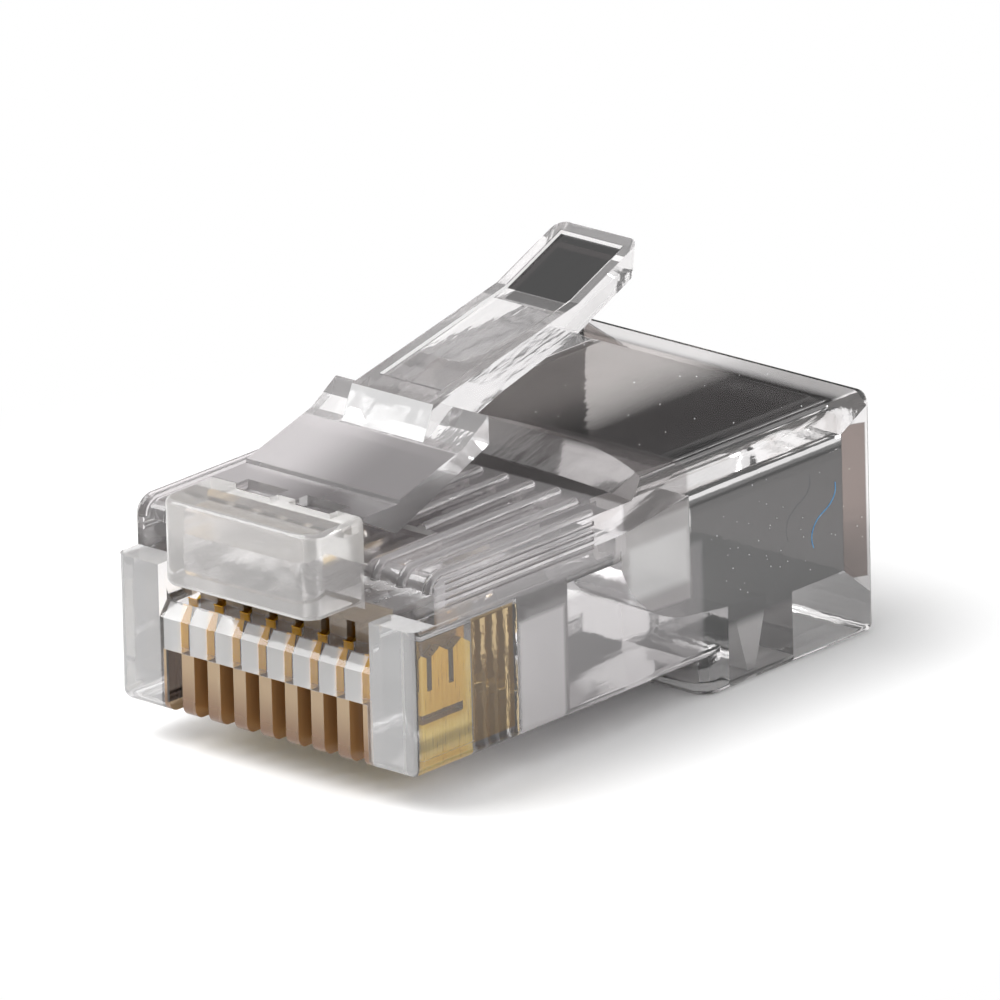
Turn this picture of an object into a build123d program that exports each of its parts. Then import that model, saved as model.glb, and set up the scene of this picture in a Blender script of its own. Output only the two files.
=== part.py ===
from build123d import *
import os

# Modular plug for eight conductors. Millimetres: x across the contacts, y from the nose to the
# cable end, z up from the foot. Profiles are measured from the front plane of the base and from
# the underside of the contact end, which the two section planes below carry into the frame.
front_y = -9.7
deck_z = 1.16
side = Plane(origin=(0, front_y, deck_z), x_dir=(0, 1, 0), z_dir=(1, 0, 0))
face = Plane(origin=(0, front_y, deck_z), x_dir=(1, 0, 0), z_dir=(0, -1, 0))

# Housing envelope
half_width = 5.84
length = 20.6
ledge_depth = 1.0
ledge_height = 4.57
block_top = 5.97
roof_top = 6.45
rear_start = 9.6
foot_start = 12.9
side_wall = 1.09
corner_r = 0.4
front_r = 0.35
foot_corner_r = 0.7
foot_edge_r = 0.25
rear_r = 0.2
lip_r = 0.18

# Scoop in the front edge of the rear roof, under the tongue
scoop_foot = 10.3
scoop_crown = 12.05

# Contacts, the wells that grip them and the mouths between the ribs of the comb
contact_count = 8
pitch = 1.02
blade = 0.3
blade_front = 0.95
blade_neck = 2.1
tine_tip = 3.35
tine_shoulder = 3.12
tine_half = 0.375
tine_pitch = 0.96
slit_low = 1.12
slit_high = 1.39
well_gap = 0.02
slot_gap = 0.1
mouth_width = 0.53
mouth_top = 1.97
well_top = 4.0

# Wire space with its grooves, funnel, cable chamber and flared mouth
groove_dia = 0.86
groove_z = 4.1
wire_roof = 4.6
wire_front = 1.3
funnel_front = 10.2
funnel_low = 3.5
funnel_bend = (10.95, 2.25)
chamber_front = 12.9
chamber_step = 1.4
chamber_floor = 0.85
chamber_roof = 5.15
chamber_r = 0.7
floor_end = 17.5
flare = 0.8

# Open recess above the comb, with a sloping lip
cheek = 1.69
recess_floor = 3.4
recess_slope = 0.35
recess_lip = 2.95

# Nose and the pockets that thin its living hinge
nose_half = 3.0
nose_front = -1.2
nose_rear = 1.15
nose_top = 7.25
nose_r = 0.6
pocket_in = 0.35
pocket_out = 2.0
pocket_front = 0.8
pocket_rear = 1.67
pocket_floor = 6.6
hinge_gap = 0.05

# Relief under the latch root, beads on the upper block, flutes on its sides
relief_gap = 0.15
relief_rear = 4.2
relief_floor = 5.8
bead_r = 0.17
bead_inset = 0.23
bead_turn = 0.45
bead_ends = [9.0, 9.0, 9.0, 9.0, 8.6, 8.1]
flute_r = 0.08
flute_out = 0.02
flute_z = [5.03, 5.27, 5.51, 5.75]
flute_front = 1.5
flute_rear = 8.1

# Latch: root wedge, plate with shoulders, tongue with a shallow tray in its top
web_under = 7.09
root_low = (2.6, 6.36)
plate_step = (2.75, 7.36)
plate_heel = 7.24
ramp_foot = (5.65, 8.17)
shoulder_y = 6.75
shoulder_top = 8.85
shoulder_under = 7.97
tongue_half = 1.6
tongue_root = (5.9, 9.14)
tongue_kink = (12.4, 10.5)
tongue_tip = (15.24, 11.7)
tongue_end_r = 0.38
tray_wall = 0.38
tray_depth = 0.12
tray_start = 6.7
tray_margin = 0.35

# Strain-relief bars, hinged on thin webs and pushed in when the plug is crimped
bar_gap = 0.06
bar_inset = 0.15
web_y = 14.66
web_thickness = 0.2
jacket_bar_y = 14.95
jacket_bar_top = 1.45
jacket_bar_tip = 0.35
wire_bar_y = 5.6
wire_bar_depth = 0.9
wire_bar_low = 0.1
wire_bar_top = 2.55
wire_window = 7.8

# Sizes that follow from the others
contact_span = (contact_count - 1) * pitch
bead_pitch = (half_width - bead_inset) / (len(bead_ends) - 0.5)
contact_x = [i * pitch - contact_span / 2 for i in range(contact_count)]
chamber_half = half_width - side_wall
recess_half = half_width - cheek
wire_half = (contact_span + pitch) / 2
bar_half = chamber_half - bar_inset
wire_bar_half = wire_half - bar_inset
relief_half = nose_half + relief_gap
tine_first = blade_front + tine_half
blade_rear = tine_first + 2 * tine_pitch + tine_half
bend = 1 - 0.5**0.5
floor_slope = (chamber_floor - chamber_step) / (floor_end - chamber_front)
web_top = chamber_step + floor_slope * (web_y - chamber_front)
bar_top = web_top + floor_slope * (jacket_bar_y + jacket_bar_top - web_y)
lower_slope = (tongue_kink[1] - tongue_root[1]) / (tongue_kink[0] - tongue_root[0])
upper_slope = (tongue_tip[1] - tongue_kink[1]) / (tongue_tip[0] - tongue_kink[0])
tray_half = tongue_half - tray_wall
tray_end = tongue_tip[0] - tray_margin

tongue_outline = [
    (5.36, 8.0),
    tongue_root,
    tongue_kink,
    tongue_tip,
    (15.11, 10.77),
    (12.35, 9.58),
    (9.0, 8.72),
    (6.25, 7.8),
    (5.36, 7.6),
]
tray_outline = [
    (tray_start, tongue_root[1] + lower_slope * (tray_start - tongue_root[0]) - tray_depth),
    (tongue_kink[0], tongue_kink[1] - tray_depth),
    (tray_end, tongue_kink[1] + upper_slope * (tray_end - tongue_kink[0]) - tray_depth),
    (tray_end, tongue_tip[1] + 1),
    (tray_start, tongue_tip[1] + 1),
]
blade_outline = [(blade_front, 0), (blade_rear, 0)]
for i in (2, 1, 0):
    centre = tine_first + i * tine_pitch
    blade_outline += [
        (centre + tine_half, tine_shoulder),
        (centre, tine_tip),
        (centre - tine_half, tine_shoulder),
    ]
    if i > 0:
        blade_outline += [
            (centre - tine_half, blade_neck),
            (centre - tine_pitch + tine_half, blade_neck),
        ]

# Foot and cable end, rounded before they join the contact end
with BuildPart() as cable_end:
    with BuildSketch(Plane(origin=(0, front_y, 0))) as plan:
        with Locations((0, (foot_start + length) / 2)):
            Rectangle(2 * half_width, length - foot_start)
        fillet(plan.vertices().sort_by(Axis.Y)[:2], radius=foot_corner_r)
    extrude(amount=2 * deck_z)
    fillet(cable_end.edges().group_by(Axis.Z)[0].sort_by(Axis.Y)[:-1], radius=foot_edge_r)
    with BuildSketch(face.offset(-rear_start)):
        with Locations((0, roof_top / 2)):
            RectangleRounded(2 * half_width, roof_top, corner_r)
    extrude(amount=-(length - rear_start))

# Funnel: side walls that spread in plan, over a floor that curves down into the chamber
with BuildPart() as funnel:
    with BuildSketch(Plane(origin=(0, front_y, deck_z))):
        with BuildLine():
            Polyline(
                (-wire_half, funnel_front),
                (wire_half, funnel_front),
                (chamber_half, chamber_front),
                (-chamber_half, chamber_front),
                close=True,
            )
        make_face()
    extrude(amount=roof_top)
    with BuildSketch(side):
        with BuildLine():
            ThreePointArc((funnel_front, funnel_low), funnel_bend, (chamber_front, chamber_step))
            Polyline(
                (chamber_front, chamber_step),
                (chamber_front, chamber_roof),
                (funnel_front, wire_roof),
                (funnel_front, funnel_low),
            )
        make_face()
    extrude(amount=half_width, both=True, mode=Mode.INTERSECT)

# Cable chamber: flat roof with rounded corners, floor that falls towards the cable end
with BuildPart() as chamber:
    with BuildSketch(side):
        with BuildLine():
            Polyline(
                (chamber_front, chamber_step),
                (floor_end, chamber_floor),
                (length, chamber_floor),
                (length, chamber_roof),
                (chamber_front, chamber_roof),
                close=True,
            )
        make_face()
    extrude(amount=chamber_half, both=True)
    fillet(
        chamber.edges().filter_by(Axis.Y).sort_by(Axis.Z)[-2:],
        radius=chamber_r,
    )
    for y, spread in ((length - flare, 0), (length, flare)):
        with BuildSketch(face.offset(-y)):
            with Locations((0, (chamber_floor + chamber_roof) / 2)):
                Rectangle(2 * (chamber_half + spread), chamber_roof - chamber_floor + 2 * spread)
    loft(ruled=True)

# Nose: block with rounded corners, pockets in its top at the hinge
with BuildPart() as nose:
    with BuildSketch(side):
        with Locations(((nose_front + nose_rear) / 2, (ledge_height + nose_top) / 2)):
            Rectangle(nose_rear - nose_front, nose_top - ledge_height)
    extrude(amount=nose_half, both=True)
    fillet(nose.edges().filter_by(Axis.Z).sort_by(Axis.Y)[:2], radius=nose_r)
    fillet(nose.edges().group_by(Axis.Z)[-1].sort_by(Axis.Y)[:-1], radius=lip_r)
    fillet(nose.edges().group_by(Axis.Z)[0].sort_by(Axis.Y)[:-1], radius=lip_r)
    for x in (-(pocket_in + pocket_out) / 2, (pocket_in + pocket_out) / 2):
        with Locations((x, front_y + nose_rear, deck_z + nose_top)):
            Box(
                pocket_out - pocket_in,
                2 * (nose_rear - pocket_front),
                2 * (nose_top - pocket_floor),
                mode=Mode.SUBTRACT,
            )

with BuildPart() as housing:
    # Contact end: base with a front ledge and the upper block behind it
    with BuildSketch(side):
        with BuildLine():
            Polyline(
                (0, 0),
                (rear_start + 1, 0),
                (rear_start + 1, block_top),
                (ledge_depth, block_top),
                (ledge_depth, ledge_height),
                (0, ledge_height),
                close=True,
            )
        make_face()
    extrude(amount=half_width, both=True)
    front_edges = housing.edges().group_by(Axis.Y)[0]
    low_edges = housing.edges().group_by(Axis.Z)[0]
    block_edges = housing.edges().filter_by_position(
        Axis.Y, front_y + ledge_depth / 2, front_y + 1.5 * ledge_depth
    )
    brow = block_edges.filter_by(Axis.X).sort_by(Axis.Z)[-1:]
    keel = low_edges.filter_by(Axis.Y) + low_edges.filter_by(Axis.X).sort_by(Axis.Y)[:1]
    fillet(front_edges.filter_by(Axis.Z) + keel, radius=front_r)
    fillet(brow, radius=bead_turn)
    add(cable_end.part)
    fillet(housing.faces().sort_by(Axis.Y)[-1].edges(), radius=rear_r)

    # Scoop that clears the pressed tongue: an arch that deepens towards the roof
    for z, crown in ((block_top, scoop_foot), (2 * roof_top - block_top, 2 * scoop_crown - scoop_foot)):
        with BuildSketch(Plane(origin=(0, front_y, deck_z + z))):
            with BuildLine():
                Polyline(
                    (-half_width - 1, rear_start),
                    (-half_width - 1, rear_start - 1),
                    (half_width + 1, rear_start - 1),
                    (half_width + 1, rear_start),
                )
                ThreePointArc(
                    (half_width + 1, rear_start), (0, crown), (-half_width - 1, rear_start)
                )
            make_face()
    loft(ruled=True, mode=Mode.SUBTRACT)

    # Relief under the latch root, so that the pressed latch clears the block
    with BuildSketch(side):
        with Locations(((nose_rear + relief_rear) / 2, (relief_floor + roof_top) / 2)):
            Rectangle(relief_rear - nose_rear, roof_top - relief_floor)
    extrude(amount=relief_half, both=True, mode=Mode.SUBTRACT)

    # Beads along the block; those clear of the latch turn down over its brow
    for k in range(len(bead_ends)):
        for x in (-(k + 0.5) * bead_pitch, (k + 0.5) * bead_pitch):
            with BuildLine(Plane(origin=(x, front_y, deck_z), x_dir=(0, 1, 0), z_dir=(1, 0, 0))) as run:
                if abs(x) > relief_half:
                    Line((bead_ends[k], block_top), (ledge_depth + bead_turn, block_top))
                    ThreePointArc(
                        (ledge_depth + bead_turn, block_top),
                        (ledge_depth + bead_turn * bend, block_top - bead_turn * bend),
                        (ledge_depth, block_top - bead_turn),
                    )
                else:
                    Line((bead_ends[k], block_top), (relief_rear, block_top))
            with BuildSketch(face.offset(-bead_ends[k])):
                with Locations((x, block_top)):
                    Circle(bead_r)
            sweep(path=run.line)
            with Locations((x, front_y + bead_ends[k], deck_z + block_top)):
                Sphere(bead_r)

    # Fine flutes along both side walls of the upper block
    with BuildSketch(face.offset(-flute_front)):
        for z in flute_z:
            with Locations((half_width + flute_out, z), (-half_width - flute_out, z)):
                Circle(flute_r)
    extrude(amount=-(flute_rear - flute_front), mode=Mode.SUBTRACT)

    # Hollows: cable chamber, funnel, and the wire space with a groove for each conductor
    add(chamber.part, mode=Mode.SUBTRACT)
    add(funnel.part, mode=Mode.SUBTRACT)
    with BuildSketch(face.offset(-wire_front)):
        with Locations((0, (groove_z + wire_roof) / 2)):
            Rectangle(2 * wire_half, wire_roof - groove_z)
        for x in contact_x:
            with Locations((x, groove_z)):
                Circle(groove_dia / 2)
    extrude(amount=-(funnel_front + slot_gap - wire_front), mode=Mode.SUBTRACT)

    # Open recess above the comb, with a sloping lip
    with BuildSketch(face):
        with Locations((0, (recess_floor + ledge_height) / 2 + corner_r)):
            RectangleRounded(2 * recess_half, ledge_height - recess_floor + 2 * corner_r, corner_r)
    extrude(amount=-ledge_depth, mode=Mode.SUBTRACT)
    with BuildSketch(side):
        with BuildLine():
            Polyline(
                (0, recess_lip),
                (recess_slope, recess_floor),
                (recess_slope, recess_floor + corner_r),
                (0, recess_floor + corner_r),
                close=True,
            )
        make_face()
    extrude(amount=recess_half, both=True, mode=Mode.SUBTRACT)

    # Contact wells up into the wire space, and their wider mouths between the ribs
    for x in contact_x:
        with BuildSketch(Plane(origin=(x, front_y, deck_z), x_dir=(0, 1, 0), z_dir=(1, 0, 0))):
            with Locations(((blade_front + blade_rear) / 2, (well_top - 1) / 2)):
                Rectangle(blade_rear - blade_front + 2 * slot_gap, well_top + 1)
    extrude(amount=blade / 2 + well_gap, both=True, mode=Mode.SUBTRACT)
    for x in contact_x:
        with BuildSketch(Plane(origin=(x, front_y, deck_z), x_dir=(0, 1, 0), z_dir=(1, 0, 0))):
            with Locations(((blade_front - slot_gap - 1) / 2, (mouth_top - 1) / 2)):
                Rectangle(blade_front - slot_gap + 1, mouth_top + 1)
    extrude(amount=mouth_width / 2, both=True, mode=Mode.SUBTRACT)

    # Windows in the underside for the two strain-relief bars
    with BuildSketch(side):
        with Locations(((web_y - bar_gap + floor_end) / 2, chamber_floor - deck_z)):
            Rectangle(floor_end - web_y + bar_gap, 3 * deck_z)
    extrude(amount=bar_half + bar_gap, both=True, mode=Mode.SUBTRACT)
    with BuildSketch(side):
        with Locations(((wire_bar_y - bar_gap + wire_window) / 2, (groove_z - 1) / 2)):
            Rectangle(wire_window - wire_bar_y + bar_gap, groove_z + 1)
    extrude(amount=wire_bar_half + bar_gap, both=True, mode=Mode.SUBTRACT)

    add(nose.part)

with BuildPart() as latch:
    with BuildSketch(side):
        with BuildLine():
            Polyline(tongue_outline, close=True)
        make_face()
    extrude(amount=tongue_half, both=True)
    tip_edges = latch.faces().sort_by(Axis.Y)[-1].edges().sort_by(Axis.X)
    fillet(tip_edges[:1] + tip_edges[-1:], radius=tongue_end_r)
    with BuildSketch(side):
        with BuildLine():
            Polyline(
                (nose_rear + hinge_gap, web_under),
                root_low,
                (shoulder_y, shoulder_under),
                (shoulder_y, shoulder_top),
                ramp_foot,
                plate_step,
                (plate_step[0] - hinge_gap, plate_heel),
                (nose_rear + hinge_gap, plate_heel),
                close=True,
            )
        make_face()
    extrude(amount=nose_half, both=True)
    with BuildSketch(side):
        with BuildLine():
            Polyline(tray_outline, close=True)
        make_face()
    extrude(amount=tray_half, both=True, mode=Mode.SUBTRACT)
    for x in (-(pocket_in + pocket_out) / 2, (pocket_in + pocket_out) / 2):
        with Locations((x, front_y + nose_rear, deck_z + nose_top)):
            Box(
                pocket_out - pocket_in,
                2 * (pocket_rear - nose_rear),
                4 * (nose_top - web_under),
                mode=Mode.SUBTRACT,
            )

with BuildPart() as jacket_bar:
    with BuildSketch(side):
        with BuildLine():
            Polyline(
                (web_y, web_top),
                (jacket_bar_y + jacket_bar_top, bar_top),
                (jacket_bar_y + (jacket_bar_top + jacket_bar_tip) / 2, bar_gap - deck_z),
                (jacket_bar_y + (jacket_bar_top - jacket_bar_tip) / 2, bar_gap - deck_z),
                (jacket_bar_y, bar_top - web_thickness),
                (web_y, web_top - web_thickness),
                close=True,
            )
        make_face()
    extrude(amount=bar_half, both=True)

with BuildPart() as wire_bar:
    with BuildSketch(side):
        with Locations((wire_bar_y + wire_bar_depth / 2, (wire_bar_low + wire_bar_top) / 2)):
            Rectangle(wire_bar_depth, wire_bar_top - wire_bar_low)
    extrude(amount=wire_bar_half, both=True)

housing.part.label = "housing"
latch.part.label = "latch"
jacket_bar.part.label = "jacket_clamp_bar"
wire_bar.part.label = "wire_clamp_bar"

os.makedirs("parts", exist_ok=True)
export_step(housing.part, "parts/housing.step")
export_step(latch.part, "parts/latch.step")
export_step(jacket_bar.part, "parts/jacket_clamp_bar.step")
export_step(wire_bar.part, "parts/wire_clamp_bar.step")

# Contacts: piercing blades with three tines and a slit, one in each well
for i in range(contact_count):
    with BuildPart() as contact:
        section = Plane(origin=(contact_x[i], front_y, deck_z), x_dir=(0, 1, 0), z_dir=(1, 0, 0))
        with BuildSketch(section):
            with BuildLine():
                Polyline(blade_outline, close=True)
            make_face()
            with Locations((tine_first + tine_pitch, (slit_low + slit_high) / 2)):
                Rectangle(2 * tine_pitch, slit_high - slit_low, mode=Mode.SUBTRACT)
        extrude(amount=blade / 2, both=True)
    contact.part.label = f"contact_{i + 1}"
    export_step(contact.part, f"parts/contact_{i + 1}.step")
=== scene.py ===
# %% [markdown]
# # A clear modular plug
# The real thing is one moulding of clear polycarbonate with eight gold-plated contacts pressed
# into it from below. The solids come from the imported frame, which also holds their joints, so
# this lesson only dresses them: it makes the finishes, paints light and shade onto the moulding,
# adds the dust that clings to the plastic, and sets up a plain white studio.

# %% Frame
import math

import bpy
import numpy as np
from mathutils import Matrix, Vector


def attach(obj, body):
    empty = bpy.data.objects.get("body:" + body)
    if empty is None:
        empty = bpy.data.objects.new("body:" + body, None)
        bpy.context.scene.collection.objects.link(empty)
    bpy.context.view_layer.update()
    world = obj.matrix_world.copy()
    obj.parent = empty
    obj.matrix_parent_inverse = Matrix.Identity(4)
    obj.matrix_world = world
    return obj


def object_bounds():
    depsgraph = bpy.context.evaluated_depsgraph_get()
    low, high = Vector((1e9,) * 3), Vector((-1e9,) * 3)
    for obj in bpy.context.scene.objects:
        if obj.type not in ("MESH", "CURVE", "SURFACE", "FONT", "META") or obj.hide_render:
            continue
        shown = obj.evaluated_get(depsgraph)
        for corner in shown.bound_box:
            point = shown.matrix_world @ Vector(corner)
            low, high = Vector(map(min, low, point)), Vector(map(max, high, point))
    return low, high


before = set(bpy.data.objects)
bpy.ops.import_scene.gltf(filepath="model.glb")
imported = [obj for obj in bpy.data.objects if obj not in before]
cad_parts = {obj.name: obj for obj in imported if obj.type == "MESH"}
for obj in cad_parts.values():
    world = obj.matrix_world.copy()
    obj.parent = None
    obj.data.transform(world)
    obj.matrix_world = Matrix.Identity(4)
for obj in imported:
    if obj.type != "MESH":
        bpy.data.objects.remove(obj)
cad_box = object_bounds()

scene = bpy.context.scene
scene.view_settings.view_transform = "Standard"
MM = 0.001
# In millimetres: Y of the plane that its front corners end in, and Z of the body's underside ahead
# of the foot. The places below are given from these two, as they were measured.
FRONT, DECK = -9.7, 1.16
print("solids:", sorted(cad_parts))

# %% [markdown]
# Colours are written as sRGB hex values, as a paint chart gives them, and one function turns
# them into the linear values that a shader needs. A second function adds any node, because a
# Mix or Math node has several sockets of one name and is easier to wire by their identifiers.

# %% Helpers
def linear(hex_colour):
    """Each channel c of the hex value: c/12.92 below 0.04045, else ((c+0.055)/1.055)**2.4."""
    channels = [int(hex_colour[i : i + 2], 16) / 255 for i in (1, 3, 5)]
    return [c / 12.92 if c <= 0.04045 else ((c + 0.055) / 1.055) ** 2.4 for c in channels] + [1.0]


def add_node(material, kind, settings=None, links=None):
    """Adds a node. Settings are attributes or sockets, links are socket: (node, output)."""
    node = material.node_tree.nodes.new(kind)
    for name, value in (settings or {}).items():
        if hasattr(node, name):
            setattr(node, name, value)
        else:
            next(s for s in node.inputs if s.identifier == name).default_value = value
    for name, (source, output) in (links or {}).items():
        start = next(s for s in source.outputs if s.identifier == output)
        end = next(s for s in node.inputs if s.identifier == name)
        material.node_tree.links.new(start, end)
    return node


def new_material(name):
    """An empty material with its Object coordinates, which are metres in the part's frame."""
    material = bpy.data.materials.new(name)
    material.use_nodes = True
    material.node_tree.nodes.clear()
    return material, add_node(material, "ShaderNodeTexCoord")


# %% [markdown]
# One moulding has several finishes, and light and shade are painted onto it as well. The nose
# is blasted and looks like frosted glass, the ribs of the comb are painted with the gold light of
# the contacts behind them, and the walls of the cable chamber are painted near black with shade.
# An image map could hold them, but a mesh with one slot can carry them without one. Each zone is
# a box in Object coordinates, whose mask is 1 inside and fades to 0 outside. It can be kept to the
# faces that point one way, and it can repeat across the plug at the contacts' pitch.

# %% Zones
FACINGS = {"up": (0, 0, 1), "down": (0, 0, -1), "sides": (1, 0, 0), "front": (0, -1, 0)}
# A face begins to count as turned one way at the first cosine, and counts in full at the second
TURNED = {"From Min": 0.45, "From Max": 0.55}


def zone(material, coords, low, high, soft, facing=None, pitch=None):
    """Mask of a box from low to high, in mm from the plug's front plane and deck. The distance
    |p - middle| - half size, divided by the fade on each axis, has a largest part m. The mask
    is 1 where m is 0 or less and 0 where it is 1 or more. With a pitch, X is first wrapped to
    the range from 0 to that pitch."""
    low, high = Vector(low), Vector(high)
    shift = Vector((0, FRONT, DECK))
    middle = ((low + high) / 2 + shift) * MM
    half = (high - low) / 2 * MM
    fade = Vector(soft if isinstance(soft, tuple) else (soft, soft, soft)) * MM
    spot = (coords, "Object")
    if pitch:
        wrapped = {"operation": "WRAP", "Vector_001": (pitch * MM, 1, 1), "Vector_002": (0, -1, -1)}
        spot = (add_node(material, "ShaderNodeVectorMath", wrapped, {"Vector": spot}), "Vector")
    away = add_node(material, "ShaderNodeVectorMath", {"operation": "SUBTRACT", "Vector_001": middle},
                    {"Vector": spot})
    size = add_node(material, "ShaderNodeVectorMath", {"operation": "ABSOLUTE"}, {"Vector": (away, "Vector")})
    over = add_node(material, "ShaderNodeVectorMath", {"operation": "SUBTRACT", "Vector_001": half},
                    {"Vector": (size, "Vector")})
    share = add_node(material, "ShaderNodeVectorMath", {"operation": "DIVIDE", "Vector_001": fade},
                     {"Vector": (over, "Vector")})
    split = add_node(material, "ShaderNodeSeparateXYZ", None, {"Vector": (share, "Vector")})
    wide = add_node(material, "ShaderNodeMath", {"operation": "MAXIMUM"},
                    {"Value": (split, "X"), "Value_001": (split, "Y")})
    most = add_node(material, "ShaderNodeMath", {"operation": "MAXIMUM"},
                    {"Value": (wide, "Value"), "Value_001": (split, "Z")})
    mask = add_node(material, "ShaderNodeMapRange",
                    {"interpolation_type": "SMOOTHSTEP", "To Min": 1.0, "To Max": 0.0},
                    {"Value": (most, "Value")})
    if facing is None:
        return mask, "Result"
    geometry = add_node(material, "ShaderNodeNewGeometry")
    cosine = add_node(material, "ShaderNodeVectorMath",
                      {"operation": "DOT_PRODUCT", "Vector_001": FACINGS[facing]},
                      {"Vector": (geometry, "Normal")})
    # Both of the sides count, so their cosine loses its sign
    sign = "ABSOLUTE" if facing == "sides" else "ADD"
    toward = add_node(material, "ShaderNodeMath", {"operation": sign, "Value_001": 0.0},
                      {"Value": (cosine, "Value")})
    turned = add_node(material, "ShaderNodeMapRange", TURNED, {"Value": (toward, "Value")})
    joined = add_node(material, "ShaderNodeMath", {"operation": "MULTIPLY"},
                      {"Value": (mask, "Result"), "Value_001": (turned, "Result")})
    return joined, "Value"


def on_both_sides(near, far, low, high, *finish):
    """The same zone on the right and, mirrored, on the left: X runs from near to far, and low and
    high hold Y and Z."""
    return [((-far, *low), (-near, *high), *finish), ((near, *low), (far, *high), *finish)]


# %% [markdown]
# Polycarbonate is moulded against polished steel, so it is glass-clear and refracts strongly.
# It is never perfectly clear: a faint haze in the bulk scatters a share of the light, which is
# what makes thick corners look milky and keeps trapped light from going black. Here the haze is
# the part of the shader that isn't transmission.

# %% Clear polycarbonate
def polycarbonate(name, zones, haze, tint, rough=0.03):
    """Polycarbonate, injection moulded in a polished steel tool: IOR 1.58, a mirror gloss, and
    a clear body that lets one see the parts behind it, bent and shifted. Zones, whose colours also
    paint light and shade onto the moulding, are (low, high, soft, facing, colour, haze, roughness)
    and sometimes a pitch. Later ones lie on top: each is mixed over the one before, and the first
    over the plain finish."""
    material, coords = new_material(name)
    plain = {"Base Color": linear(tint), "Transmission Weight": 1 - haze, "Roughness": rough}
    lower = {"colour": {"A_Color": linear(tint)}, "finish": {"A_Vector": (1 - haze, rough, 0)}}
    under = {"colour": {}, "finish": {}}
    for low, high, soft, facing, tint_and_painted_light, zone_haze, zone_rough, *pitch in zones:
        mask = {"Factor_Float": zone(material, coords, low, high, soft, facing, *pitch)}
        zone_finish = (1 - zone_haze, zone_rough, 0)
        # A zone's colour is the plastic's tint, and in many zones it is painted light and shade
        colour = add_node(material, "ShaderNodeMix",
                          {"data_type": "RGBA", "B_Color": linear(tint_and_painted_light), **lower["colour"]},
                          {**mask, **under["colour"]})
        finish = add_node(material, "ShaderNodeMix",
                          {"data_type": "VECTOR", "B_Vector": zone_finish, **lower["finish"]},
                          {**mask, **under["finish"]})
        lower = {"colour": {}, "finish": {}}
        under = {"colour": {"A_Color": (colour, "Result_Color")},
                 "finish": {"A_Vector": (finish, "Result_Vector")}}
    # Flow marks 0.6 mm apart, drawn out along the plug, wander in depth by a few micrometres
    stretch = add_node(material, "ShaderNodeMapping", {"Scale": (1.0, 0.25, 1.0)},
                       {"Vector": (coords, "Object")})
    flow = add_node(material, "ShaderNodeTexNoise", {"Scale": 1 / (0.6 * MM), "Detail": 3.0},
                    {"Vector": (stretch, "Vector")})
    bump = add_node(material, "ShaderNodeBump", {"Strength": 0.35, "Distance": 0.02 * MM},
                    {"Height": (flow, flow.outputs[0].identifier)})
    varied = {}
    if zones:
        parts = add_node(material, "ShaderNodeSeparateXYZ", None, {"Vector": (finish, "Result_Vector")})
        plain = {}
        varied = {"Base Color": (colour, "Result_Color"), "Transmission Weight": (parts, "X"),
                  "Roughness": (parts, "Y")}
    shader = add_node(material, "ShaderNodeBsdfPrincipled", {"IOR": 1.58, **plain},
                      {**varied, "Normal": (bump, "Normal")})
    add_node(material, "ShaderNodeOutputMaterial", None, {"Surface": (shader, "BSDF")})
    print(name, "has", len(zones), "zones")
    return material
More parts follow.
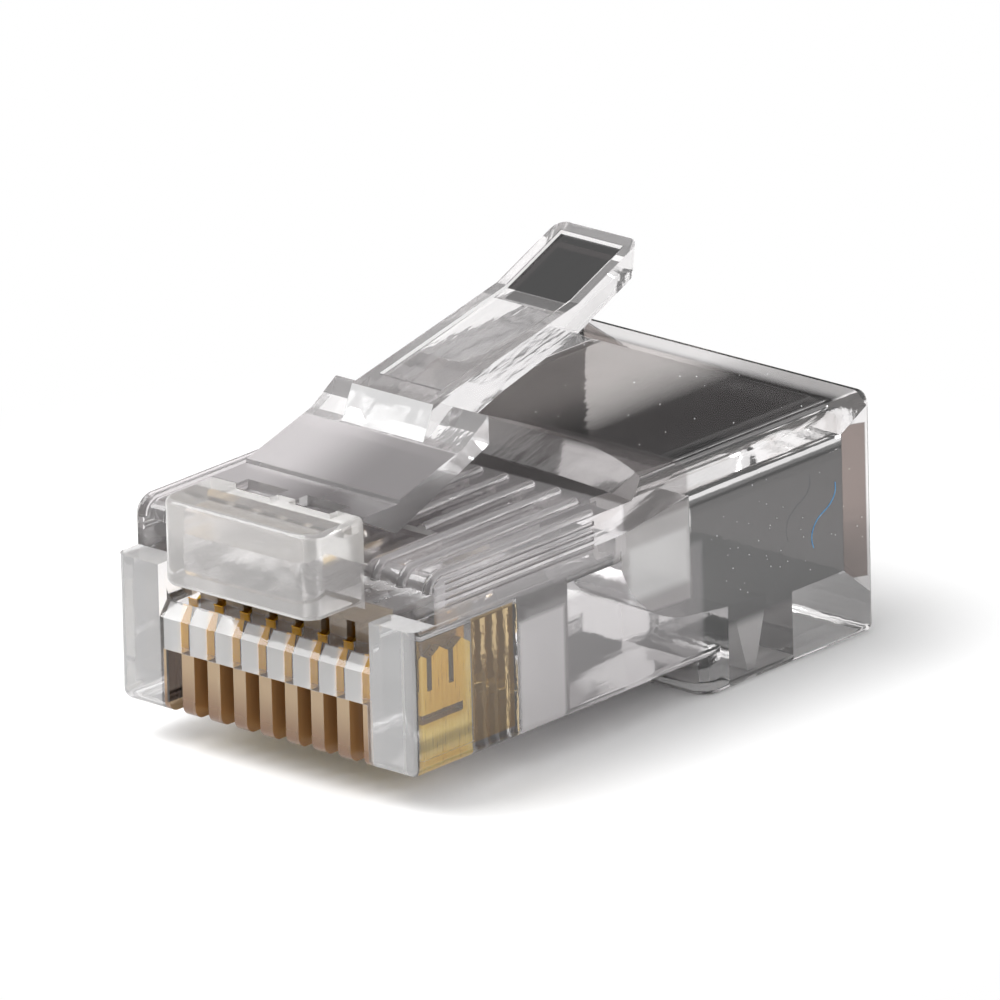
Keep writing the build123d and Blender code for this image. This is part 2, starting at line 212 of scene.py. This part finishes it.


# %% [markdown]
# The list below says where each finish of the moulding lies, and where light and shade are
# painted on it. A colour here is the colour that light takes when it passes the surface, and the
# haze next to it is the share that scatters instead. The dark colours are painted shade, and the
# gold, tan, brown and white ones on the walls are painted light from the contacts and the funnel.
# The wall that mirrors the contacts has no haze at all. X is 0 in the plug's middle, and a zone
# that runs to OUTER ends beyond its wall, while one from SKIN to OUTER holds only the outer face
# of a side wall.

# %% Finishes, painted light and painted shade of the housing and the latch
CONTACT_PITCH = 1.02
OUTER, SKIN = 6.0, 5.6
housing_zones = [
    # lower walls under the wire space, a little grey
    ((-OUTER, 5.3, -0.3), (OUTER, 12.6, 3.6), 0.4, None, "#B2AEAF", 0.34, 0.06),
    # upper block with its beads and flutes
    ((-OUTER, 1.2, 4.5), (OUTER, 9.4, 6.3), 0.2, None, "#E6E2E3", 0.22, 0.05),
    # scoop and roof's front slope
    ((-OUTER, 9.5, 5.2), (OUTER, 12.2, 6.6), 0.2, None, "#9A9595", 0.16, 0.08),
    # cable chamber's walls, in painted near-black shade, and the left part of its roof, lighter with painted
    # light
    ((-4.9, 12.9, 0.7), (4.9, 19.9, 5.3), 0.4, None, "#060505", 0.0, 0.05),
    ((-4.9, 10.0, 5.0), (-2.2, 20.0, 5.3), (3.5, 1.0, 0.1), None, "#DAD2CE", 0.25, 0.06),
    # funnel's walls, a panel of painted light
    ((-4.9, 10.0, 2.0), (4.9, 12.85, 5.0), 0.15, "sides", "#FFFDFC", 0.80, 0.10),
    # ledge on top of the solid corners, milky
    ((-OUTER, -0.2, 4.4), (OUTER, 1.05, 4.7), 0.1, "up", "#FCFCFC", 0.30, 0.08),
    # flare of the cable end, with painted dark shade on its sides
    ((-5.75, 19.85, 0.6), (5.75, 20.5, 5.4), 0.05, "sides", "#4A3A34", 0.10, 0.05),
    # clear band between the ribs and the lip of the recess, through which the contacts show
    ((-4.1, -0.2, 1.97), (4.1, 0.95, 3.5), 0.04, "front", "#FFFFFC", 0.02, 0.04),
    # its solid blocks between the contacts, milky
    ((0.12, -0.2, 1.97), (0.76, 0.3, 3.5), 0.05, "front", "#FFFFFF", 0.30, 0.05, CONTACT_PITCH),
    # front walls of the wells, painted gold with the light of the contacts' edges right behind them
    ((0.34, 0.8, 1.97), (0.68, 0.9, 3.6), 0.02, None, "#D69C00", 0.92, 0.15, CONTACT_PITCH),
    # front faces of the solid corners, milky
    *on_both_sides(4.15, OUTER, (-0.2, -0.2), (0.3, 4.7), 0.05, "front", "#FCFCFC", 0.25, 0.07),
    # ribs of the comb, painted with the gold light of the contacts behind them: tan in front, darker towards
    # the bottom, and brown on their sides
    ((-4.0, -0.2, -0.2), (4.0, 0.9, 1.95), 0.05, None, "#C2A680", 0.50, 0.15),
    ((-4.0, -0.2, -0.2), (4.0, 0.9, 0.1), (0.05, 0.05, 1.7), "front", "#8A6444", 0.50, 0.15),
    ((-3.6, -0.2, -0.2), (3.95, 0.9, 1.99), 0.05, "sides", "#A67E52", 0.66, 0.10),
    # outer wall of the first slot, in deep shade
    ((-3.9, -0.1, 0.35), (-3.8, 0.9, 1.95), 0.03, None, "#1E1713", 0.10, 0.10),
    # inner walls of the wells, brown with the light that the contacts throw back
    ((-3.7, 1.0, 0.3), (3.7, 3.8, 3.95), 0.03, "sides", "#9C6A22", 0.45, 0.08),
    # side walls beside the contacts, painted with the gold light of the contacts
    *on_both_sides(SKIN, OUTER, (2.6, 0.5), (4.4, 4.3), 0.06, "sides", "#D0A45C", 0.12, 0.04),
    # side walls beside the wire bar's window, a little milky
    *on_both_sides(SKIN, OUTER, (4.8, -0.2), (6.6, 3.5), 0.2, "sides", "#E0DCDD", 0.49, 0.06),
    # side walls beside the funnel, painted white with the light of the funnel's panel
    *on_both_sides(SKIN, OUTER, (9.8, 3.0), (12.1, 4.3), 0.35, "sides", "#FFFFFF", 0.22, 0.06),
    # front wall of the wire bar's window, which mirrors the contacts, polished
    ((-4.0, 5.45, -0.2), (4.0, 5.6, 4.1), 0.02, None, "#FFFFFF", 0.0, 0.02),
    # rear wall of the jacket bar's window, in deep shade
    ((-4.9, 17.3, -1.3), (4.9, 17.7, 0.8), 0.05, "front", "#3A3636", 0.30, 0.06),
    # back wall of the recess, in the nose's shade
    ((-4.2, 0.97, 3.45), (4.2, 1.2, 4.7), 0.05, None, "#A39381", 0.40, 0.10),
    # step behind the relief under the latch root, satin, in painted grey shade
    ((-3.25, 4.1, 5.72), (3.25, 4.3, 6.05), 0.02, "front", "#8E8B8B", 0.80, 0.20),
    # blasted nose
    ((-3.1, -1.3, 4.5), (3.1, 1.16, 7.3), 0.04, None, "#F6F4F2", 0.22, 0.13),
]
latch_zones = [
    # end of the tongue's tray, in painted near-black shade
    ((-1.23, 12.45, 9.0), (1.23, 14.88, 12.0), 0.04, "up", "#030202", 0.01, 0.04),
    # underside of the plate, blasted, with painted shade to the right
    ((-3.1, 1.1, 6.2), (3.1, 6.8, 8.0), 0.2, "down", "#F0EEEE", 0.85, 0.30),
    ((0.5, 1.1, 6.2), (3.1, 6.8, 8.0), (3.0, 0.2, 0.2), "down", "#B0ACAC", 0.85, 0.30),
    # top of the plate, satin as its cavity was left, with painted shade to the right
    ((-3.1, 1.1, 6.2), (3.1, 5.25, 8.5), 0.12, "up", "#C0BCBD", 0.62, 0.25),
    ((1.2, 1.1, 6.2), (3.1, 5.25, 8.5), (3.2, 0.12, 0.12), "up", "#7C7879", 0.62, 0.25),
    # front of the tongue's foot, bright
    ((-1.6, 5.2, 7.5), (1.6, 5.95, 9.2), 0.05, "front", "#FFFFFF", 0.35, 0.08),
]
print("zones:", len(housing_zones), "on the housing and", len(latch_zones), "on the latch")

# %% [markdown]
# The contacts are stamped from phosphor bronze, plated with nickel and then gold. The stamping
# leaves fine lines along the blade, so the gloss is satin and streaked upwards.

# %% Gold plate
def gold_plate(name):
    """Phosphor bronze, stamped and electroplated with gold: a full metal, yellow and satin."""
    material, coords = new_material(name)
    # Stamping lines 0.05 mm apart, drawn out along the blade's height
    stretch = add_node(material, "ShaderNodeMapping", {"Scale": (1.0, 1.0, 0.06)},
                       {"Vector": (coords, "Object")})
    lines = add_node(material, "ShaderNodeTexNoise", {"Scale": 1 / (0.05 * MM), "Detail": 2.0},
                     {"Vector": (stretch, "Vector")})
    out = lines.outputs[0].identifier
    tone = add_node(material, "ShaderNodeMix",
                    {"data_type": "RGBA", "A_Color": linear("#DAAF28"), "B_Color": linear("#FFEA74")},
                    {"Factor_Float": (lines, out)})
    # The edges that face the front are made darker
    geometry = add_node(material, "ShaderNodeNewGeometry")
    cosine = add_node(material, "ShaderNodeVectorMath",
                      {"operation": "DOT_PRODUCT", "Vector_001": FACINGS["front"]},
                      {"Vector": (geometry, "Normal")})
    edge = add_node(material, "ShaderNodeMapRange", {"From Min": 0.4, "From Max": 0.6},
                    {"Value": (cosine, "Value")})
    tone = add_node(material, "ShaderNodeMix", {"data_type": "RGBA", "B_Color": linear("#8A6208")},
                    {"Factor_Float": (edge, "Result"), "A_Color": (tone, "Result_Color")})
    gloss = add_node(material, "ShaderNodeMapRange", {"To Min": 0.2, "To Max": 0.42}, {"Value": (lines, out)})
    shader = add_node(material, "ShaderNodeBsdfPrincipled", {"Metallic": 1.0},
                      {"Base Color": (tone, "Result_Color"), "Roughness": (gloss, "Result")})
    add_node(material, "ShaderNodeOutputMaterial", None, {"Surface": (shader, "BSDF")})
    return material


# %% [markdown]
# Every solid of the frame comes with a material slot that is named in the part's record. The
# shape is right as it is, so only the material in the slot is exchanged. The two bars are thin
# and lie deep in their windows, where the plastic's haze shows most.

# %% Finishes into their slots
finishes = {
    "clear_housing": polycarbonate("moulded_polycarbonate", housing_zones, 0.03, "#E8E6E6"),
    "clear_latch": polycarbonate("moulded_polycarbonate_latch", latch_zones, 0.10, "#FAF8F8"),
    "clear_bar": polycarbonate("moulded_polycarbonate_bar", [], 0.80, "#FFFFFF"),
    "gold_contact": gold_plate("gold_plated_bronze"),
}
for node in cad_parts.values():
    for holder in node.material_slots:
        slot = holder.material.name.split(".")[0]
        if slot in finishes:
            holder.material = finishes[slot]
print("dressed", len(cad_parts), "solids with", len(finishes), "materials")

# %% [markdown]
# Static draws dust to clear plastic. The plug has a fine blue fibre on its side wall near the
# cable end, and pale specks around it. The fibre is a thin tube: a circle carried along a path.
# The path is a quadratic B-spline with seven control points on the wall, so it bends smoothly.

# %% Tube along a path
def tube_along(points, radius, around=8, per_span=6):
    """Ring k has centre c(k) and ring points c + r (cos a n + sin a b). The path is, on each
    span with parameter s from 0 to 1, (1-s)^2/2 p0 + (1 + 2s - 2s^2)/2 p1 + s^2/2 p2, and n and b
    are made square to its direction from the wall's normal. At both ends r is drawn in to a
    twentieth, so the tube is as good as closed."""
    points = np.asarray(points, float)
    points = np.vstack([points[:1], points, points[-1:]])
    s = np.linspace(0, 1, per_span, endpoint=False)[None, :, None]
    p0, p1, p2 = points[:-2, None], points[1:-1, None], points[2:, None]
    path = ((1 - s) ** 2 / 2 * p0 + (1 + 2 * s - 2 * s**2) / 2 * p1 + s**2 / 2 * p2).reshape(-1, 3)
    ahead_of = np.gradient(path, axis=0)
    ahead_of /= np.linalg.norm(ahead_of, axis=1, keepdims=True)
    across = np.cross(ahead_of, (1.0, 0.0, 0.0))
    across /= np.linalg.norm(across, axis=1, keepdims=True)
    lift = np.cross(across, ahead_of)
    turn = np.linspace(0, 2 * np.pi, around, endpoint=False)[None, :, None]
    taper = np.ones(len(path))
    taper[[0, -1]] = 0.05
    circle = np.cos(turn) * across[:, None] + np.sin(turn) * lift[:, None]
    ring = path[:, None] + radius * taper[:, None, None] * circle
    rows, columns = np.meshgrid(np.arange(len(path) - 1), np.arange(around), indexing="ij")
    nearby = (columns + 1) % around
    faces = np.stack([rows * around + columns, (rows + 1) * around + columns,
                      (rows + 1) * around + nearby, rows * around + nearby], axis=-1).reshape(-1, 4)
    return ring.reshape(-1, 3), faces


# %% [markdown]
# A speck of dust is far too small to show its form, so a few flat faces are enough. All of them
# together are one mesh, because they lie still on the moulding and wear one finish.

# %% Specks
def specks_on(places, radius, seed):
    """Each speck is an octahedron that its wall cuts in half. A seeded generator makes it 0.5 to
    1.3 times as large as the radius says, and stretches it by 0.6 to 1.6 on each axis."""
    rng = np.random.default_rng(seed)
    corners = np.array([(1, 0, 0), (-1, 0, 0), (0, 1, 0), (0, -1, 0), (0, 0, 1), (0, 0, -1)], float)
    sides = np.array([(0, 2, 4), (2, 1, 4), (1, 3, 4), (3, 0, 4), (2, 0, 5), (1, 2, 5), (3, 1, 5), (0, 3, 5)])
    places = np.asarray(places, float)
    stretch = rng.uniform(0.6, 1.6, (len(places), 1, 3))
    sizes = radius * rng.uniform(0.5, 1.3, (len(places), 1, 1))
    points = places[:, None] + corners[None] * (stretch * sizes)
    faces = sides[None] + 6 * np.arange(len(places))[:, None, None]
    return points.reshape(-1, 3), faces.reshape(-1, 3)


# %% [markdown]
# A new piece is a mesh at the origin with its place in its points, as the solids have it. It
# rides on the body that carries it, so it stays on the wall when the plug moves. Lint is dyed
# textile: it is matt, and its dye is uneven, which a noise at the size of a tenth of a millimetre
# gives it.

# %% Pieces and lint
def piece(name, points, faces, material, body):
    """Makes a mesh object from points in mm from the plug's front plane and deck."""
    shape = bpy.data.meshes.new(name)
    placed = (np.asarray(points) + (0, FRONT, DECK)) * MM
    shape.from_pydata(placed.tolist(), [], faces.tolist())
    shape.materials.append(material)
    thing = bpy.data.objects.new(name, shape)
    scene.collection.objects.link(thing)
    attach(thing, body)
    print(name, len(points), "points")
    return thing


def lint(name, hex_colour, pale_colour, rough):
    """Textile lint: a matt fibre whose dye varies every 0.1 mm along it."""
    material, coords = new_material(name)
    dye = add_node(material, "ShaderNodeTexNoise", {"Scale": 1 / (0.1 * MM)}, {"Vector": (coords, "Object")})
    tone = add_node(material, "ShaderNodeMix",
                    {"data_type": "RGBA", "A_Color": linear(hex_colour), "B_Color": linear(pale_colour)},
                    {"Factor_Float": (dye, dye.outputs[0].identifier)})
    shader = add_node(material, "ShaderNodeBsdfPrincipled", {"Roughness": rough},
                      {"Base Color": (tone, "Result_Color")})
    add_node(material, "ShaderNodeOutputMaterial", None, {"Surface": (shader, "BSDF")})
    return material


# %% [markdown]
# The fibre's path was read from the photograph, and its points lie on the side wall, half
# the plug's width from its middle. The specks are strewn by a seeded random generator over the
# side wall and the roof behind the scoop, where the photograph shows most of them.

# %% The fibre and the specks in place
# In millimetres, as far out as the solids reach and up to the roof, and a hair's breadth more
WALL, ROOF = round(cad_box[1][0] / MM, 2) + 0.005, 6.452
FIBRE_RADIUS, SPECK_RADIUS = 0.013, 0.018
WALL_SPECKS, ROOF_SPECKS = 46, 24
fibre_path = [(WALL, 18.93, 4.01), (WALL, 18.94, 3.66), (WALL, 18.64, 3.33), (WALL, 18.09, 3.11),
              (WALL, 17.83, 2.74), (WALL, 17.82, 2.43), (WALL, 17.91, 2.21)]
points, faces = tube_along(fibre_path, FIBRE_RADIUS)
piece("fibre", points, faces, lint("blue_lint", "#1F7FC4", "#6FB4E4", 0.7), "housing")
rng = np.random.default_rng(8)
wall_specks = np.column_stack([np.full(WALL_SPECKS, WALL), rng.uniform(13.2, 20.2, WALL_SPECKS),
                               rng.uniform(1.3, 5.4, WALL_SPECKS)])
roof_specks = np.column_stack([rng.uniform(-4.5, 5.3, ROOF_SPECKS), rng.uniform(12.5, 20.2, ROOF_SPECKS),
                               np.full(ROOF_SPECKS, ROOF)])
points, faces = specks_on(np.vstack([wall_specks, roof_specks]), SPECK_RADIUS, seed=3)
piece("dust", points, faces, lint("pale_lint", "#C9C6C2", "#F2F6FA", 0.8), "housing")

# %% [markdown]
# The photograph was taken from far away with a long lens, so its edges stay nearly parallel. The
# camera stands 700 mm off, turned 41.9 degrees from the nose and raised 19.4 degrees, with a
# slight roll. Its lens follows from the scale in the picture, 33.83 pixels for each millimetre.

# %% Camera direction
AZIMUTH, ELEVATION, ROLL = (math.radians(v) for v in (41.86, 19.39, 1.42))
DISTANCE = 700 * MM
PICTURE_PIXELS, PIXELS_PER_MM = 1000, 33.83
right = Vector((math.cos(AZIMUTH), math.sin(AZIMUTH), 0))
level_ahead = Vector((-math.sin(AZIMUTH), math.cos(AZIMUTH), 0))
ahead = level_ahead * math.cos(ELEVATION) - Vector((0, 0, math.sin(ELEVATION)))
above = right.cross(ahead)
view_right = right * math.cos(ROLL) - above * math.sin(ROLL)
view_up = right * math.sin(ROLL) + above * math.cos(ROLL)
print("camera looks along", [round(v, 3) for v in ahead])

# %% [markdown]
# The camera looks past a point inside the plug. The middle of the picture lies 1.68 mm to the right
# of that point and 2.07 mm above it, measured square to the line of sight.

# %% Camera
TARGET = Vector((0, -1.7, 4.16)) * MM
TO_RIGHT, TO_TOP = 1.68, 2.07
place = TARGET + right * TO_RIGHT * MM + above * TO_TOP * MM - ahead * DISTANCE
lens = bpy.data.cameras.new("camera")
lens.sensor_width = 36
lens.lens = PIXELS_PER_MM * (DISTANCE / MM) * lens.sensor_width / PICTURE_PIXELS
lens.clip_start, lens.clip_end = 0.01, 10
camera = bpy.data.objects.new("camera", lens)
scene.collection.objects.link(camera)
camera.matrix_world = Matrix.Translation(place) @ Matrix((view_right, view_up, -ahead)).transposed().to_4x4()
scene.camera = camera
print("camera lens", round(lens.lens, 1), "mm")

# %% [markdown]
# A catalogue photograph has a white surround and soft light from everywhere. The world gives both:
# it lights the plug at a plain level of 0.8, and the camera, mirrors and clear plastic see it as
# full white. A Light Path node tells those rays apart, and the same three are needed twice.

# %% World
def seen_rays(material):
    """1 for rays of the camera, for mirrored and for transmitted ones, else 0: their maximum."""
    paths = add_node(material, "ShaderNodeLightPath")
    seen = add_node(material, "ShaderNodeMath", {"operation": "MAXIMUM"},
                    {"Value": (paths, "Is Camera Ray"), "Value_001": (paths, "Is Glossy Ray")})
    shown = add_node(material, "ShaderNodeMath", {"operation": "MAXIMUM"},
                     {"Value": (seen, "Value"), "Value_001": (paths, "Is Transmission Ray")})
    return shown, "Value"


world = bpy.data.worlds.new("studio")
world.use_nodes = True
scene.world = world
surround = world.node_tree.nodes["Background"]
surround.inputs["Color"].default_value = (1, 1, 1, 1)
level = add_node(world, "ShaderNodeMapRange", {"To Min": 0.8, "To Max": 1.0}, {"Value": seen_rays(world)})
world.node_tree.links.new(level.outputs[0], surround.inputs["Strength"])
print("world lights at", level.inputs["To Min"].default_value)

# %% [markdown]
# The plug stands on white card. Matt white card sends back nine tenths of the light and takes the
# soft shadow that grounds the plug. From 12 mm outwards it fades into the white surround for the
# rays that see it, so no edge of the card shows, and it still lights the plug as card does.

# %% Floor
def square(name, reach, material, place=Matrix.Identity(4)):
    """A flat square of side 2 x reach about the origin, carried by place. It isn't part of the
    plug."""
    sheet = bpy.data.meshes.new(name)
    corners = np.array([(-1, -1, 0), (1, -1, 0), (1, 1, 0), (-1, 1, 0)]) * reach
    sheet.from_pydata(corners.tolist(), [], [(0, 1, 2, 3)])
    sheet.transform(place)
    sheet.materials.append(material)
    thing = bpy.data.objects.new(name, sheet)
    scene.collection.objects.link(thing)
    print(name, "is", 2 * reach, "m square")
    return thing


# Coated card, pressed smooth: white and matt
paper, coords = new_material("white_card")
card = add_node(paper, "ShaderNodeBsdfPrincipled", {"Base Color": linear("#F7F7F7"), "Roughness": 0.9})
glow = add_node(paper, "ShaderNodeEmission", {"Strength": 1.0})
centre = add_node(paper, "ShaderNodeVectorMath", {"operation": "LENGTH"}, {"Vector": (coords, "Object")})
FADE_FROM, FADE_TO = 12 * MM, 30 * MM
far = add_node(paper, "ShaderNodeMapRange",
               {"interpolation_type": "SMOOTHSTEP", "From Min": FADE_FROM, "From Max": FADE_TO},
               {"Value": (centre, "Value")})
white = add_node(paper, "ShaderNodeMath", {"operation": "MULTIPLY"},
                 {"Value": (far, "Result"), "Value_001": seen_rays(paper)})
mixed = add_node(paper, "ShaderNodeMixShader", None,
                 {"Fac": (white, "Value"), "Shader": (card, "BSDF"), "Shader_001": (glow, "Emission")})
add_node(paper, "ShaderNodeOutputMaterial", None, {"Surface": (mixed, "Shader")})
square("floor", 0.4, paper)

# %% [markdown]
# One large soft lamp stands over the photographer's shoulder. It is weak, because the world gives
# most of the light, but it tells the top from the sides and draws the bright lines on the edges.

# %% Lamp
lamp = bpy.data.lights.new("soft_key", "AREA")
# Watts and metres
lamp.energy, lamp.size = 0.24, 0.12
key = bpy.data.objects.new("soft_key", lamp)
scene.collection.objects.link(key)
key.location = (-0.05, -0.06, 0.12)
key.rotation_mode = "QUATERNION"
key.rotation_quaternion = (Vector((0, 0, 0.004)) - key.location).to_track_quat("-Z", "Y")
print("lamp is", round(key.location.length, 3), "m away")

# %% [markdown]
# Clear things need something dark to show their form, so a photographer sets up a black card just
# outside the picture. It stands beyond the plug, where the smooth roof mirrors it, and the camera
# itself doesn't see it. Felt is a mat of wool fibres, and its nap swallows the light.

# %% Dark card
felt, coords = new_material("black_felt")
# Tufts 0.4 mm apart
nap = add_node(felt, "ShaderNodeTexNoise", {"Scale": 1 / (0.4 * MM)}, {"Vector": (coords, "Object")})
wool = add_node(felt, "ShaderNodeMix",
                {"data_type": "RGBA", "A_Color": linear("#080808"), "B_Color": linear("#121212")},
                {"Factor_Float": (nap, nap.outputs[0].identifier)})
matt = add_node(felt, "ShaderNodeBsdfPrincipled", {"Roughness": 1.0}, {"Base Color": (wool, "Result_Color")})
add_node(felt, "ShaderNodeOutputMaterial", None, {"Surface": (matt, "BSDF")})
toward = Vector((-0.63, 0.70, 0.33)).normalized()
turn = toward.to_track_quat("Z", "Y").to_matrix().to_4x4()
ROOF_MIDDLE = Vector((0, 5, 7.6))
CARD_DISTANCE, CARD_REACH = 60, 25 * MM
dark_card = square("dark_card", CARD_REACH, felt,
                   Matrix.Translation(ROOF_MIDDLE * MM + toward * CARD_DISTANCE * MM) @ turn)
dark_card.visible_camera = False
